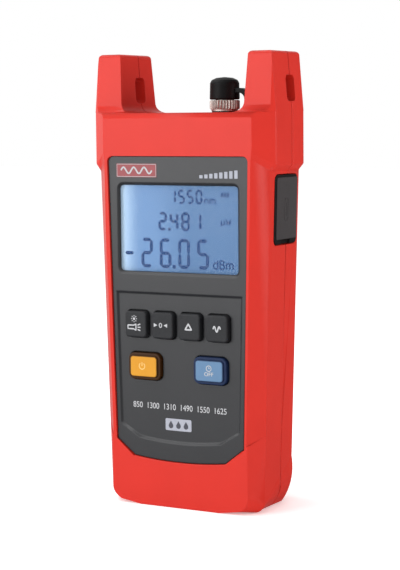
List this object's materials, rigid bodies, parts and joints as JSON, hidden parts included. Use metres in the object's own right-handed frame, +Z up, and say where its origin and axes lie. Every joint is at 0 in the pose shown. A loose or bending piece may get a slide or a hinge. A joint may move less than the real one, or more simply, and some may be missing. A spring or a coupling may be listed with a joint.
{
  "type": "handheld optical power meter",
  "caption": "Handheld fibre optic tester: red two-part case with strap horns, dark key panel with display, capped optical port on the deck and a rubber side door.",
  "frame": {"origin": "on the surface that the tester stands on, under the middle of its box", "axes": "+Z up along the case, +X to the right of someone facing the display, -Y out of the display"},
  "size_m": [0.0854, 0.044, 0.1885],
  "materials": {
    "case_red": "fine matt texture, moulded",
    "panel_grey": "fine matt texture, moulded",
    "window_clear": "polished",
    "lcd_glass": "satin, lit from behind",
    "light_guide": "clear moulded",
    "key_dark": "matt",
    "key_orange": "matt",
    "key_blue": "matt",
    "black_rubber": "matt",
    "board_green": "satin solder mask",
    "nickel": "nickel plated",
    "screw_steel": "zinc plated",
    "ceramic": "ground ceramic",
    "black_plastic": "moulded",
    "cell_jacket": "printed sleeve, plain"
  },
  "bodies": {
    "case": {"front_shell": "case_red", "rear_shell": "case_red", "battery_cover": "case_red", "front_panel": "panel_grey", "display_window": "window_clear", "lcd_module": "lcd_glass", "backlight": "light_guide", "torch_led": "light_guide", "cap_tether": "black_rubber", "shell_gasket": "black_rubber", "keypad_mat": "black_rubber", "port_seal": "black_rubber", "cover_seal": "black_rubber", "main_board": "board_green", "side_board": "board_green", "port_body": "nickel", "port_ring": "nickel", "port_nut": "nickel", "photodiode": "nickel", "usb_socket": "nickel", "contact_leaves": "nickel", "contact_plates": "nickel", "switch_domes": "nickel", "board_screws": "screw_steel", "cover_screws": "screw_steel", "shell_screws": "screw_steel", "ferrule_sleeve": "ceramic", "detector_holder": "black_plastic", "board_link": "black_plastic", "battery_cell_1": "cell_jacket", "battery_cell_2": "cell_jacket", "battery_cell_3": "cell_jacket"},
    "key_light": {"key_light": "key_dark"},
    "key_zero": {"key_zero": "key_dark"},
    "key_relative": {"key_relative": "key_dark"},
    "key_wavelength": {"key_wavelength": "key_dark"},
    "key_power": {"key_power": "key_orange"},
    "key_timer": {"key_timer": "key_blue"},
    "dust_cap": {"dust_cap": "black_rubber"},
    "port_door": {"port_door": "black_rubber"}
  },
  "joints": [
    {"name": "key_light_press", "type": "slide", "parent": "case", "child": "key_light", "axis": [0, 1, 0], "range_m": [0, 0.0008], "stiffness_N_per_m": 800},
    {"name": "key_zero_press", "type": "slide", "parent": "case", "child": "key_zero", "axis": [0, 1, 0], "range_m": [0, 0.0008], "stiffness_N_per_m": 800},
    {"name": "key_relative_press", "type": "slide", "parent": "case", "child": "key_relative", "axis": [0, 1, 0], "range_m": [0, 0.0008], "stiffness_N_per_m": 800},
    {"name": "key_wavelength_press", "type": "slide", "parent": "case", "child": "key_wavelength", "axis": [0, 1, 0], "range_m": [0, 0.0008], "stiffness_N_per_m": 800},
    {"name": "key_power_press", "type": "slide", "parent": "case", "child": "key_power", "axis": [0, 1, 0], "range_m": [0, 0.0008], "stiffness_N_per_m": 800},
    {"name": "key_timer_press", "type": "slide", "parent": "case", "child": "key_timer", "axis": [0, 1, 0], "range_m": [0, 0.0008], "stiffness_N_per_m": 800},
    {"name": "cap_pull", "type": "slide", "parent": "case", "child": "dust_cap", "axis": [0, 0, 1], "range_m": [0, 0.0095], "deforming": ["cap_tether"]},
    {"name": "door_swing", "type": "hinge", "parent": "case", "child": "port_door", "pos_m": [0.04065, -0.001, 0.1386], "axis": [0, -1, 0], "range_deg": [0, 105]}
  ]
}
